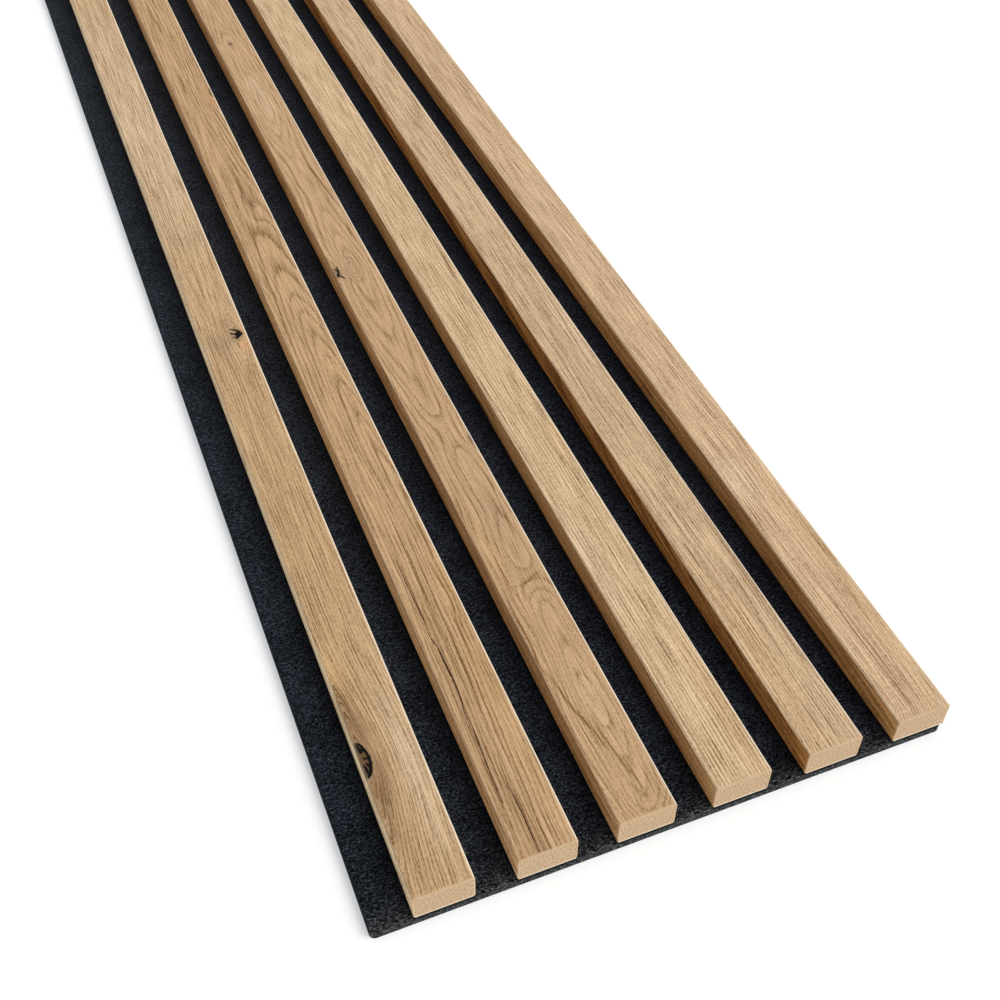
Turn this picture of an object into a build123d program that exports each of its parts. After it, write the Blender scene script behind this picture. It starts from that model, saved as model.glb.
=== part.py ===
from build123d import *
import os

# Acoustic slat wall panel: veneered slats side by side on a felt backing board.
# The panel lies on its back: X runs across the slats, Y along them, and Z up from the felt's back face.
# The origin is the middle of that back face. All sizes are in millimetres.

# Panel
panel_length = 2400.0
slat_count = 6

# Slats
slat_width = 29.5
slat_height = 16.0
slat_gap = 20.5
veneer_thickness = 0.6
core_edge_radius = 0.4

# Felt backing board
felt_thickness = 6.0
felt_corner_radius = 3.0
felt_edge_softness = 0.6

# Staples, driven from the back through the felt into each core
staples_per_slat = 12
staple_end_distance = 45.0
staple_crown = 12.8
staple_leg = 14.0
staple_wire_width = 0.95
staple_wire_thickness = 0.65
staple_bend_flat = 0.5
staple_sink = 0.3

# Derived sizes
slat_pitch = slat_width + slat_gap
panel_width = slat_count * slat_pitch
left_margin = slat_gap
core_width = slat_width - 2 * veneer_thickness
core_height = slat_height - veneer_thickness
veneer_edge_radius = core_edge_radius + veneer_thickness
staple_pitch = (panel_length - 2 * staple_end_distance) / (staples_per_slat - 1)


def slat_centres():
    """X of each slat's middle, from the wide felt margin on the left to the flush right edge."""
    first = left_margin + slat_width / 2 - panel_width / 2
    return [first + index * slat_pitch for index in range(slat_count)]


def staple_stations():
    """Y of each staple along a slat, evenly spaced between the two end distances."""
    first = staple_end_distance - panel_length / 2
    return [first + index * staple_pitch for index in range(staples_per_slat)]


def run_along_slat(profile):
    """Extrude a section drawn in X and Z over the panel's full length."""
    return extrude(Plane.XZ * profile, amount=panel_length / 2, both=True)


def slat_section(width, height, edge_radius):
    """Section with a flat foot at Z 0 and its two front corners rounded."""
    block = Rectangle(width, height, align=(Align.CENTER, Align.MIN))
    front_corners = block.vertices().group_by(Axis.Y)[-1]
    return fillet(front_corners, edge_radius)


def staple_section():
    """U of flat wire, open upwards, with each bend flattened on its outside. The crown's back is at Z 0."""
    outside = Rectangle(staple_crown, staple_leg, align=(Align.CENTER, Align.MIN))
    bends = outside.vertices().group_by(Axis.Y)[0]
    outside = chamfer(bends, staple_bend_flat)
    inside_width = staple_crown - 2 * staple_wire_thickness
    inside = Rectangle(inside_width, staple_leg, align=(Align.CENTER, Align.MIN))
    return outside - Pos(0, staple_wire_thickness) * inside


def make_staple():
    """One staple with its crown across the slat."""
    return extrude(Plane.XZ * staple_section(), amount=staple_wire_width / 2, both=True)


def staple_places(slat_x):
    """Where one slat's staples sit: crowns sunk a little below the felt's back face."""
    return [Pos(slat_x, station, staple_sink) for station in staple_stations()]


def make_core(slat_x, staples):
    """Fibreboard bar, standing on the felt, with the slits that its staples have cut."""
    section = slat_section(core_width, core_height, core_edge_radius)
    core = Pos(slat_x, 0, felt_thickness) * run_along_slat(section)
    return core - staples


def make_veneer(slat_x):
    """Wood skin folded over the core's front face and both long sides."""
    outside = slat_section(slat_width, slat_height, veneer_edge_radius)
    inside = slat_section(core_width, core_height, core_edge_radius)
    return Pos(slat_x, 0, felt_thickness) * run_along_slat(outside - inside)


def crown_dent():
    """Dent in the felt's back face under a sunk crown. The crown's back is at Z 0."""
    dent = Box(staple_crown, staple_wire_width, staple_sink, align=(Align.CENTER, Align.CENTER, Align.MIN))
    return Pos(0, 0, -staple_sink) * dent


def make_felt(staples):
    """Backing board with rounded plan corners, a softly rounded back rim, and a cut for each staple."""
    board = Box(panel_width, panel_length, felt_thickness, align=(Align.CENTER, Align.CENTER, Align.MIN))
    board = fillet(board.edges().filter_by(Axis.Z), felt_corner_radius)
    back_rim = board.edges().group_by(Axis.Z)[0]
    board = fillet(back_rim, felt_edge_softness)
    return board - staples


def export_node(name, shape):
    """Write one node as its own STEP file."""
    shape.label = name
    export_step(shape, os.path.join("parts", name + ".step"))


def main():
    os.makedirs("parts", exist_ok=True)
    staple = make_staple()
    every_staple = []
    every_cut = []
    for number, slat_x in enumerate(slat_centres(), start=1):
        places = staple_places(slat_x)
        staples = [place * staple for place in places]
        export_node("slat_" + str(number) + "_core", make_core(slat_x, staples))
        export_node("slat_" + str(number) + "_veneer", make_veneer(slat_x))
        every_staple += staples
        every_cut += staples
        every_cut += [place * crown_dent() for place in places]
    export_node("backing_felt", make_felt(every_cut))
    export_node("backing_staples", Compound(children=every_staple))


main()
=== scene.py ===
import math
from contextlib import contextmanager

import bmesh
import bpy
from mathutils import Matrix, Vector


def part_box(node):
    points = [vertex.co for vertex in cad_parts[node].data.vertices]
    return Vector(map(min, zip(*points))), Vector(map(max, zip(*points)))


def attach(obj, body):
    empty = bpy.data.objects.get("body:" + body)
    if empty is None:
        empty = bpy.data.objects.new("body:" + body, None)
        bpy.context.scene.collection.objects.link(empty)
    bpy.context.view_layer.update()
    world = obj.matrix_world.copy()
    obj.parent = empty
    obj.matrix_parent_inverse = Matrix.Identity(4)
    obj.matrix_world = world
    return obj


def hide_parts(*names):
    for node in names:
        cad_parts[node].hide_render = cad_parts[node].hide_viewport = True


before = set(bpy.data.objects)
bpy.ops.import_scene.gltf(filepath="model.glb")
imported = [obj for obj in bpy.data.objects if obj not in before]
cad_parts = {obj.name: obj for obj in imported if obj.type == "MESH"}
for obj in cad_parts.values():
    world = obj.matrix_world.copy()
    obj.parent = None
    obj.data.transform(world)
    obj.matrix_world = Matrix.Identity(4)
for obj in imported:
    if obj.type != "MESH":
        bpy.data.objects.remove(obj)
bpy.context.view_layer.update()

# Acoustic slat wall panel, lying on its back: oak-veneered fibreboard slats on a black felt board.
# X runs across the slats, Y along them and Z up. Lengths named in millimetres are multiplied by MM.
MM = 0.001

# Places taken from the frame
felt_low, felt_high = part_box("backing_felt")
skin_low, skin_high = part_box("slat_1_veneer")
core_low, core_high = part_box("slat_1_core")
staples_low, staples_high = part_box("backing_staples")
NEAR_END = felt_low.y
PANEL_LENGTH = felt_high.y - felt_low.y
SLAT_WIDTH = skin_high.x - skin_low.x
SLAT_TOP = skin_high.z
SLAT_FOOT = skin_low.z
SKIN = core_low.x - skin_low.x
CORE_WIDTH = core_high.x - core_low.x
CORE_TOP = core_high.z
HALF_WIDTH_MM = SLAT_WIDTH / 2 / MM

# Closer than this, two places are one
TOUCH = 0.001 * MM

# Slats
SKIN_EDGE_RADIUS = 1.0 * MM
CORE_EDGE_RADIUS = 0.4 * MM
SAWN_EDGE_EASE = 0.22 * MM

# Open cracks: their depth, and in millimetres the fine grid that is cut round them
SPLIT_DEPTH = 0.42 * MM
SPLIT_MARGIN = 1.2
SPLIT_FROM_EDGE = 1.1
SPLIT_FROM_END = 0.5
SPLIT_CELL_ACROSS = 0.24
SPLIT_CELL_ALONG = 0.36
LONG_SPLIT = 60
LONG_SPLIT_CELL = 1.3
SPLIT_BLUR = 0.15

# Felt
FELT_CORNER_RADIUS = 3.0 * MM
FELT_FRONT_RIM = 1.1 * MM
FELT_BACK_RIM = 0.3 * MM
FELT_UNEVENNESS = 0.35 * MM
FELT_CELL = 5.0 * MM
FELT_LUMP = 12 * MM

# Staples
STAPLES_PER_SLAT = 12
WIRE_WIDTH = 0.95 * MM
WIRE_THICKNESS = 0.65 * MM
CROWN_OUTER = 6.4 * MM
CROWN_INNER = CROWN_OUTER - WIRE_THICKNESS
STAPLE_TIP = 14.3 * MM
DIMPLE_MARGIN = 2.2 * MM
DIMPLE_DEPTH = 0.25 * MM
LEG_SLOT_ROOF = 0.1 * MM

# Camera: its place, and the directions of its right side and of its view
CAMERA_PLACE = Vector((-0.1946, -1.46387, 0.55367))
CAMERA_RIGHT = Vector((0.92868, -0.37089, 0.0017))
CAMERA_FORWARD = Vector((0.25838, 0.64366, -0.72037))
CAMERA_LENS = 47.069
CAMERA_SENSOR = 36.0

# Light: a soft key from the front right, a pale room all round, and a faint glow in the floor
KEY_DIRECTION = Vector((0.80, -0.55, 1.0))
KEY_STRENGTH = 1.85
KEY_SOFTNESS = math.radians(50)
ROOM_LIGHT = 0.53
FLOOR_PAPER = (0.78, 0.78, 0.78)
FLOOR_GLOW = 0.34
FLOOR_GLOW_COLOUR = (0.97, 0.985, 1.0)
FLOOR_DROP = 0.1 * MM
FLOOR_SIZE = 18.0
FLOOR_INSET = 10 * MM

# Oak: how far a tone darkens or brightens the board, its knots' hearts, the painted highlight along its top
# edges, and its chipped edges
OAK_DARKEST = (0.42, 0.33, 0.25)
OAK_PALEST = (1.42, 1.47, 1.56)
KNOT_HEART = (0.125, 0.068, 0.030)
PAINTED_EDGE_HIGHLIGHT = (1.0, 0.88, 0.70)
SAWN_CHIP = (0.68, 0.48, 0.29)
EDGE_LINE_WIDTH = 0.7
SIDE_RING_SPACING = 2.6
SIDE_RING_UNEVEN = 0.30
SEED_STEP = 3.7

# Felt: its fibres' size, the turn of each layer of them with its shift, and their colours
FIBRE_SIZE = (2.2 * MM, 0.42 * MM, 0.7 * MM)
FIBRE_LAYERS = ((-22, 0.0), (-48, 4.0), (30, 9.0))
FIBRE_GREY = (0.148, 0.183, 0.251)
# Paler grey at the felt's cut ends: cut fibres and dust, partly painted light on the front face that the
# floor lights
CUT_EDGE_DUST_AND_PAINTED_LIGHT = (0.35, 0.355, 0.355)

# Shader nodes: what spreads noise to about -1 to 1, the colour sockets of the Mix node, and the group
# sockets that carry colours
NOISE_GAIN = 3.0
MIX_FIRST = 6
MIX_SECOND = 7
MIX_RESULT = 2
COLOUR_SOCKETS = ("Colour", "Board", "Stain")


# Modelling helpers

def only(piece):
    """Select one object and make it the active one."""
    bpy.ops.object.select_all(action="DESELECT")
    piece.select_set(True)
    bpy.context.view_layer.objects.active = piece


@contextmanager
def editing(piece):
    """Edit mode on one piece, with nothing selected in it."""
    only(piece)
    bpy.ops.object.mode_set(mode="EDIT")
    bpy.ops.mesh.select_all(action="DESELECT")
    yield
    bpy.ops.object.mode_set(mode="OBJECT")


def pick(piece, kind, test):
    """In edit mode, select just the verts, edges or faces that pass a test."""
    modes = {"verts": "VERT", "edges": "EDGE", "faces": "FACE"}
    bpy.ops.mesh.select_mode(type=modes[kind])
    bpy.ops.mesh.select_all(action="DESELECT")
    mesh = bmesh.from_edit_mesh(piece.data)
    for item in getattr(mesh, kind):
        if test(item):
            item.select_set(True)
    mesh.select_flush_mode()
    bmesh.update_edit_mesh(piece.data)


def middle_of(edge):
    return (edge.verts[0].co + edge.verts[1].co) / 2


def runs_along(edge, axis):
    """Whether an edge is parallel to axis 0, 1 or 2."""
    way = edge.verts[1].co - edge.verts[0].co
    return abs(way[axis]) > 0.999 * way.length


def add_box(name, low, high):
    """A box between two corners, with its place in its mesh."""
    bpy.ops.object.select_all(action="DESELECT")
    bpy.ops.mesh.primitive_cube_add(size=1, location=(low + high) / 2)
    piece = bpy.context.object
    piece.name = name
    piece.data.name = name
    piece.scale = high - low
    bpy.ops.object.transform_apply(location=True, rotation=True, scale=True)
    return piece


def cut(piece, test, axis, places):
    """Bisect the faces that pass a test at several places along an axis."""
    normal = [0.0, 0.0, 0.0]
    normal[axis] = 1.0
    for place in places:
        point = [0.0, 0.0, 0.0]
        point[axis] = place
        pick(piece, "faces", test)
        bpy.ops.mesh.bisect(plane_co=point, plane_no=normal, threshold=TOUCH)


def bevel(offset, segments):
    bpy.ops.mesh.bevel(
        offset=offset, offset_type="OFFSET", segments=segments, profile=0.5, affect="EDGES"
    )


def push_up(distance):
    """Extrude what is selected upwards."""
    bpy.ops.mesh.extrude_region_move(TRANSFORM_OT_translate={"value": (0, 0, distance)})


def apply_modifier(piece, kind, **settings):
    only(piece)
    modifier = piece.modifiers.new(kind.lower(), kind)
    for setting, value in settings.items():
        setattr(modifier, setting, value)
    bpy.ops.object.modifier_apply(modifier=modifier.name)


def smooth(piece, angle):
    """Smooth shading over gentle edges, with flat faces kept flat."""
    only(piece)
    bpy.ops.object.shade_smooth_by_angle(angle=math.radians(angle))
    apply_modifier(piece, "WEIGHTED_NORMAL", keep_sharp=True)


def move_to(piece, x):
    """Move a piece across the panel, with its new place in its mesh."""
    only(piece)
    piece.location.x = x
    bpy.ops.object.transform_apply(location=True, rotation=False, scale=False)


def copy_at(piece, name, x):
    """A copy with its own mesh, moved across the panel."""
    only(piece)
    bpy.ops.object.duplicate(linked=False)
    copy = bpy.context.object
    copy.name = name
    copy.data.name = name
    move_to(copy, x)
    return copy


def near(a, b):
    return abs(a - b) < 10 * TOUCH


def at_height(edge, z):
    """Whether an edge lies level at a height."""
    return near(edge.verts[0].co.z, z) and near(edge.verts[1].co.z, z)


def refine(piece, inside, z, cuts_along, cuts_across):
    """In edit mode, subdivide the level edges that lie inside a patch, first those along the slats."""
    def in_patch(edge, axis):
        if not (at_height(edge, z) and runs_along(edge, axis)):
            return False
        return inside(edge.verts[0].co) and inside(edge.verts[1].co) and inside(middle_of(edge))

    pick(piece, "edges", lambda edge: in_patch(edge, 1))
    bpy.ops.mesh.subdivide(number_cuts=cuts_along)
    pick(piece, "edges", lambda edge: in_patch(edge, 0))
    bpy.ops.mesh.subdivide(number_cuts=cuts_across)


def weigh(piece, name, weights):
    """Give a vertex group its weights, by vertex."""
    group = piece.vertex_groups.get(name) or piece.vertex_groups.new(name=name)
    for index, weight in weights.items():
        group.add([index], weight, "REPLACE")


# What each slat's veneer looks like. Across is in millimetres from the slat's left edge, along from its
# near end. Below zero and past the slat's width, across goes on down the folded sides.
# tone and side: the colours of the front and of the folded sides. side holds each side's own tone and also
# painted light and shade, each side painted paler or darker and warmer than its front as light falls on it.
# spacing: between growth
# rings. lines: how dark the ring lines are. uneven: how much the rings differ. waver: how much they wander.
# pores and
# fibre: how strongly the pores and the fine streaks show.
# heart: where the tree's heart lies at each place along. flat: how blunt the rings' arches are there.
# rise: how far the rings have climbed there. side_rise: the same for a folded side that is cut through
# arches of its own, with side_lines for how dark their lines are.
# eyes: (across, along, half width, half length, lift) of swirls in the rings.
# knots: (across, along, push, reach, spread, half width, half length, darkness) with the grain round them.
# stains: (across, along, half width, half length, colour, strength).
# strokes: (across, along, lean, half width, half length, strength) of single dark grain lines.
# splits: groups of open cracks, each crack a line of (across, along, width).
# Near-black for knot rims and black marks, also painted on crack floors as painted shade
BLACK_KNOT_AND_CRACK_SHADE = (0.003, 0.002, 0.002)

# Stain colours
GREY = (0.20, 0.145, 0.105)
RUST = (0.62, 0.30, 0.12)
HONEY = (0.56, 0.33, 0.13)
BROWN = (0.27, 0.15, 0.07)
PINK = (0.36, 0.205, 0.115)
HALO = (0.235, 0.135, 0.066)
CREAM = (0.78, 0.62, 0.44)

SLAT_LOOKS = [
    dict(
        tone=(0.517, 0.334, 0.173), side=(1, 0.76, 0.475), spacing=1.9, lines=0.8, waver=1, pores=0.8,
        fibre=0.72, uneven=0.35, heart=[(0, 50), (2400, 46)], flat=[(0, 5), (2400, 5)],
        rise=[(0, 0), (250, 4), (500, 6), (750, 12), (1100, 10), (1700, 22), (2400, 18)],
        eyes=[(16, 790, 9, 60, 4), (8, 905, 8, 50, -3), (14, 1480, 9, 150, 7)],
        knots=[
            (0, 76, 12, 26, 50, 5, 9.5, 0.97),
            (22.5, 411, 5, 8, 24, 4.6, 8, 0.15),
            (7.5, 1290, 5, 8, 34, 3.6, 7, 0.8),
            (28, 2050, 6, 9, 45, 4, 8, 0.8),
        ],
        stains=[
            (2.5, 104, 4.2, 22, HALO, 0.8), (6.5, 90, 4.6, 12, HALO, 0.6),
            (7, 68, 3.8, 12, HALO, 0.72), (4.2, 56, 3.6, 11, HALO, 0.95),
            (3.5, 38, 3, 15, HALO, 0.55), (2.8, 76, 2.6, 9, BROWN, 0.9),
            (2.6, 58, 2.4, 8, BROWN, 0.9), (1.5, 98, 2.4, 11, BROWN, 0.45),
            (13, 404, 9, 11, GREY, 0.4), (20, 424, 5, 9, PINK, 0.45),
            (25.5, 398, 3, 6, RUST, 0.58), (27.5, 411, 1.6, 5, RUST, 0.6),
            (22.5, 410, 3.6, 6, BROWN, 0.5),
            (3.5, 130, 4, 16, HONEY, 0.4), (22, 66, 6, 56, CREAM, 0.36),
            (15, 720, 40, 230, CREAM, 0.36), (-7, 301, 5.5, 3.2, BROWN, 0.8),
        ],
        strokes=[
            (4, 190, -0.02, 0.6, 40, 0.3), (21, 350, 0.01, 0.6, 26, 0.25), (3.5, 520, 0.01, 0.5, 60, 0.25),
        ],
        splits=[
            [
                [(1.3, 66.5, 1.2), (2.4, 67.6, 2), (3.6, 69.8, 2), (4.6, 73.4, 1.8), (4.9, 77.4, 1.5),
                 (4.4, 81, 1), (3.6, 83.8, 1.1), (2.6, 85.6, 1), (1.4, 86.4, 0.9)],
                [(1.2, 84.9, 1.3), (1.6, 82.4, 2.1), (2.2, 80.4, 1)],
                [(2.6, 82.6, 0.9), (3.4, 81.4, 1.3), (4, 80.4, 0.7)],
                [(1.2, 73.6, 1), (1.5, 71.4, 2.2), (1.9, 69.4, 1.8), (2.2, 68.2, 1.2)],
                [(2.8, 74.2, 0.7), (3.4, 72.6, 1.5), (3.8, 71.6, 0.8)],
                [(3.3, 77.6, 0.5), (3.9, 76.6, 1.2), (4.6, 75.8, 0.8)],
                [(2, 78, 0.3), (2.5, 76.9, 0.8), (2.9, 76, 0.3)],
            ],
            [
                [(26.4, 410.7, 1.2), (25.2, 411, 4.6), (24.2, 411.2, 6), (23.7, 411, 4)],
                [(20.1, 417.9, 0.5), (21.6, 416.9, 1.3), (23.6, 415.2, 1.9), (25.6, 413.2, 1.8)],
                [(24.8, 409.2, 2), (23, 407.8, 1.9), (21.7, 406.6, 0.8)],
                [(19.5, 414, 0.6), (20.4, 412.6, 1.6), (21.6, 411.9, 1.2), (22.8, 411.8, 1.6)],
                [(20.2, 409, 0.5), (20.9, 408.6, 1.3), (22.2, 408.6, 1.2), (23.2, 409.2, 1.6)],
            ],
            [
                [(5.2, 1286, 0.5), (7.2, 1289, 2.8), (8.6, 1292, 2.2), (9.6, 1296, 0.4)],
                [(9.8, 1285, 0.3), (8.2, 1288, 1.2), (7.4, 1291, 0.8)],
            ],
        ],
    ),
    dict(
        tone=(0.521, 0.328, 0.173), side=(0.677, 0.45, 0.235), spacing=2.6, lines=1.5, waver=0.9, pores=0.8,
        fibre=0.58, uneven=0.6,
        heart=[(0, 36), (190, 31), (280, 24), (360, 20.5), (430, 18.5), (500, 16), (640, 9), (1000, 12),
               (1700, 22), (2400, 9)],
        flat=[(0, 2), (290, 3), (380, 6), (440, 13), (485, 22), (540, 20), (640, 8), (900, 3), (1500, 12),
              (2400, 3)],
        rise=[(0, 0), (190, 13), (250, 17), (300, 20), (400, 29), (500, 38), (620, 40), (900, 45), (1300, 58),
              (1600, 76), (2000, 90), (2400, 94)],
        eyes=[(17, 548, 6, 24, 3.5), (26, 785, 6, 36, 3), (25, 155, 4, 16, 2)],
        knots=[
            (30, 720, 4.5, 7, 30, 3.2, 8, 0.85),
            (4, 1130, 4.5, 8, 32, 3, 7.5, 0.8),
            (21, 1880, 4, 7, 28, 2.6, 6, 0.7),
        ],
        stains=[
            (26.5, 714, 4, 12, RUST, 0.45), (17, 570, 1.8, 34, BROWN, 0.85),
            (27, 160, 4.5, 22, HONEY, 0.5), (11, 12, 5, 30, BROWN, 0.35),
            (5, 95, 3, 60, BROWN, 0.3), (24, 90, 6, 50, HONEY, 0.3),
        ],
        strokes=[
            (17.6, 88, 0.03, 0.6, 34, 0.4), (16.5, 140, 0.03, 0.6, 60, 0.3), (13, 150, 0.03, 0.6, 60, 0.3),
            (25, 150, 0.05, 0.7, 26, 0.3), (6.9, 140, -0.01, 0.9, 50, 0.35), (4.7, 50, 0.035, 0.8, 44, 0.35),
        ],
        splits=[
            [
                [(7, 190, 0.15), (6.3, 180, 0.35), (6.2, 168, 0.4), (6.7, 155, 0.45), (6.9, 147, 0.4),
                 (7, 141, 0.15)],
                [(5.7, 145, 0.15), (6, 134, 0.36), (6.8, 130, 0.42), (7.6, 125.7, 0.5), (7.5, 116, 0.62),
                 (7.9, 102, 0.55), (7.3, 92, 0.5), (6.2, 85.6, 0.36), (5.8, 78.7, 0.36)],
                [(6.6, 76, 0.12), (6.6, 71.4, 0.42), (5.8, 59.8, 0.44), (5.5, 49.9, 0.38), (5.2, 40.2, 0.32),
                 (4.9, 29.9, 0.14)],
                [(4.6, 26, 0.1), (4, 14, 0.22)],
                [(12.4, 57, 0.1), (11.2, 48, 0.24), (10.6, 38, 0.32), (10.9, 31, 0.38), (11, 22, 0.42),
                 (10.8, 12.8, 0.42), (10.6, 1, 0.28)],
            ],
            [
                [(2.4, 1124, 0.3), (4, 1129, 2.2), (5.2, 1134, 1.6), (5.6, 1139, 0.3)],
            ],
        ],
    ),
    dict(
        tone=(0.536, 0.34, 0.184), side=(0.597, 0.355, 0.161), spacing=2.6, lines=1.15, waver=2.1, pores=0.8,
        fibre=0.62, uneven=0.55,
        heart=[(0, 17), (150, 20), (300, 16), (450, 14), (650, 14), (900, 10), (1500, 20), (2400, 12)],
        flat=[(0, 5), (250, 9), (500, 9), (900, 5), (1500, 14), (2400, 5)],
        rise=[(0, 6), (70, 0), (170, 5), (280, 9), (450, 2), (560, 6), (700, 1), (800, 4), (960, 8),
              (1400, 20), (1700, 14), (2400, 30)],
        eyes=[
            (19, 67, 8, 26, -5), (5, 110, 6, 50, 4), (20, 152, 9, 12, 4.5), (14, 464, 8, 24, -3),
            (10.5, 451, 5, 12, -8),
            (14, 697, 6, 46, -4), (15, 797, 8, 24, -4), (16, 276, 9, 18, 3), (15, 1240, 8, 60, -6),
            (12, 2010, 9, 80, 7),
        ],
        knots=[
            (1.5, 450, 5.5, 9, 24, 3, 6, 0.55),
            (29.5, 265, 3.5, 5, 22, 1.8, 5, 0.85),
            (22, 1560, 4.5, 8, 32, 3.4, 7, 0.85),
            (3, 2210, 4, 7, 30, 2.8, 6.5, 0.7),
        ],
        stains=[
            (12, 452, 8, 22, GREY, 0.16), (3, 443, 5, 14, BROWN, 0.3),
            (14, 697, 5, 42, CREAM, 0.28), (12, 795, 1.6, 3, BLACK_KNOT_AND_CRACK_SHADE, 0.8),
            (28.5, 262, 1.8, 6, BROWN, 0.9), (6, 180, 6, 40, HONEY, 0.3),
            (18, 66, 6, 20, CREAM, 0.12), (14, 200, 12, 50, GREY, 0.16),
        ],
        strokes=[
            (8, 64, -0.2, 0.75, 30, 0.55), (15.5, 149.6, 3, 2.6, 1.5, 0.3),
            (22, 152.4, 2, 2, 2.2, 0.3), (16, 36, -0.12, 0.7, 22, 0.4),
            (22.5, 560, -0.11, 0.8, 34, 0.5), (2, 120, 0.02, 0.7, 40, 0.35),
            (24, 205, 0.06, 0.7, 30, 0.35),
        ],
        splits=[
            [
                [(4.1, 457.8, 0.5), (3.7, 455, 1), (3.5, 452.5, 1.2), (2.8, 449.6, 1.5),
                 (2, 447.4, 2), (1.2, 446.2, 1.2)],
                [(2.2, 447.2, 1.5), (3.8, 445.6, 1.2), (4.8, 443.9, 1.1), (5.5, 442, 0.5)],
                [(1.6, 454.4, 0.4), (2.4, 453.4, 0.9), (3.3, 452, 0.8)],
            ],
            [
                [(20.6, 1553, 0.3), (21.6, 1558, 2), (22.8, 1562, 2.6), (23.4, 1568, 0.4)],
                [(24.6, 1557, 0.3), (23.2, 1560, 1.1), (22, 1562, 0.8)],
            ],
        ],
    ),
    dict(
        tone=(0.638, 0.451, 0.264), side=(0.53, 0.307, 0.128), spacing=1.95, lines=1, waver=0.8, pores=0.9,
        fibre=0.76, uneven=0.2, heart=[(0, -52), (2400, -44)], flat=[(0, 8), (2400, 8)],
        rise=[(0, 0), (250, 1.5), (420, 4), (500, 2), (800, 5), (1500, 0), (2400, 8)],
        eyes=[(28, 425, 6, 34, 2.6), (-9, 310, 7, 50, 5), (10, 1180, 9, 120, 3)],
        knots=[(-14.2, 306, 3.5, 6, 26, 2.4, 14, 0)],
        stains=[
            (-10.8, 312, 1.8, 26, HONEY, 0.45), (-14.6, 305, 2.9, 24, BLACK_KNOT_AND_CRACK_SHADE, 0.92),
            (4, 150, 6, 40, CREAM, 0.18),
            (24, 40, 6, 50, HONEY, 0.18), (27, 245, 4, 18, HONEY, 0.22),
        ],
        strokes=[
            (24.5, 415, 0.03, 0.6, 40, 0.35), (27, 470, 0.04, 0.6, 50, 0.3),
            (21, 215, -0.02, 0.5, 40, 0.25),
        ],
        splits=[],
    ),
    dict(
        tone=(0.603, 0.416, 0.246), side=(0.478, 0.232, 0.07), spacing=1.55, lines=0.88, waver=0.9,
        pores=0.9, fibre=0.72, uneven=0.2, heart=[(0, 60), (2400, 70)], flat=[(0, 8), (2400, 8)],
        rise=[(0, 0), (250, 2), (600, 0), (1200, 5), (2400, 0)],
        side_rise=[(0, 0), (115, 7.9), (200, 13.7), (260, 16.8), (350, 19.5), (600, 25), (1200, 32),
                   (2400, 40)],
        side_lines=0.9,
        eyes=[(25, 340, 4, 50, 1.6), (3, 680, 5, 70, 1.6)],
        knots=[],
        stains=[
            (27, 118, 1.3, 52, BROWN, 0.55), (24, 330, 2.2, 30, CREAM, 0.45),
            (-11, 110, 3, 100, RUST, 0.25),
            (14, 260, 9, 70, BROWN, 0.1), (5, 60, 9, 50, HONEY, 0.15),
        ],
        strokes=[
            (27.4, 115, 0, 0.5, 60, 0.45), (24, 345, 0.03, 0.5, 50, 0.35), (3.5, 680, 0, 0.6, 70, 0.35),
        ],
        splits=[],
    ),
    dict(
        tone=(0.631, 0.433, 0.26), side=(0.545, 0.3, 0.113), spacing=1.6, lines=0.9, waver=1, pores=0.9,
        fibre=0.74, uneven=0.2, heart=[(0, -46), (600, -38), (2400, -50)], flat=[(0, 8), (2400, 8)],
        rise=[(0, 0), (400, 3), (560, 5), (660, 10), (760, 13), (1200, 10), (2400, 0)],
        side_rise=[(0, 0), (400, 5), (900, 9), (1600, 14), (2400, 26)], side_lines=0.55,
        eyes=[(16, 655, 10, 46, 4), (22, 180, 7, 22, 1.5), (6, 1650, 9, 150, 5)],
        knots=[],
        stains=[
            (6, 175, 8, 16, CREAM, 0.3), (25, 90, 5, 70, HONEY, 0.15),
            (15, 680, 30, 120, BROWN, 0.08),
        ],
        strokes=[
            (10.4, 48, 0, 0.5, 46, 0.5), (12.8, 42, 0, 0.5, 40, 0.5), (20, 640, 0.05, 0.6, 40, 0.3),
        ],
        splits=[],
    ),
]


def slat_middle(number):
    """X of a slat's middle."""
    low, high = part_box("slat_" + str(number) + "_veneer")
    return (low.x + high.x) / 2


def staple_stations():
    """Y of each staple along a slat."""
    first = staples_low.y + WIRE_WIDTH / 2
    last = staples_high.y - WIRE_WIDTH / 2
    step = (last - first) / (STAPLES_PER_SLAT - 1)
    return [first + index * step for index in range(STAPLES_PER_SLAT)]


def in_staple_row(place):
    return any(abs(place.y - y) < WIRE_WIDTH / 2 for y in staple_stations())


# Slats

def fold_skin():
    """Veneer for one slat at X 0: a thin skin over the front face and both long sides."""
    half = SLAT_WIDTH / 2
    low = Vector((-half, NEAR_END, SLAT_FOOT))
    high = Vector((half, NEAR_END + PANEL_LENGTH, SLAT_TOP))
    piece = add_box("skin_pattern", low, high)
    with editing(piece):
        pick(piece, "faces", lambda face: face.normal.z < -0.9 or abs(face.normal.y) > 0.9)
        bpy.ops.mesh.delete(type="FACE")
        pick(piece, "edges", lambda edge: runs_along(edge, 1) and middle_of(edge).z > SLAT_TOP - MM)
        bevel(SKIN_EDGE_RADIUS, 5)
    apply_modifier(piece, "SOLIDIFY", thickness=SKIN, offset=-1, use_even_offset=True)

    def on_sawn_rim(vert):
        outside = abs(vert.co.x) > half - 0.9 * SKIN or vert.co.z > SLAT_TOP - 0.9 * SKIN
        return outside and (near(vert.co.y, low.y) or near(vert.co.y, high.y))

    with editing(piece):
        pick(piece, "edges", lambda edge: not runs_along(edge, 1) and all(on_sawn_rim(v) for v in edge.verts))
        bevel(SAWN_EDGE_EASE, 2)
    return piece


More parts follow.
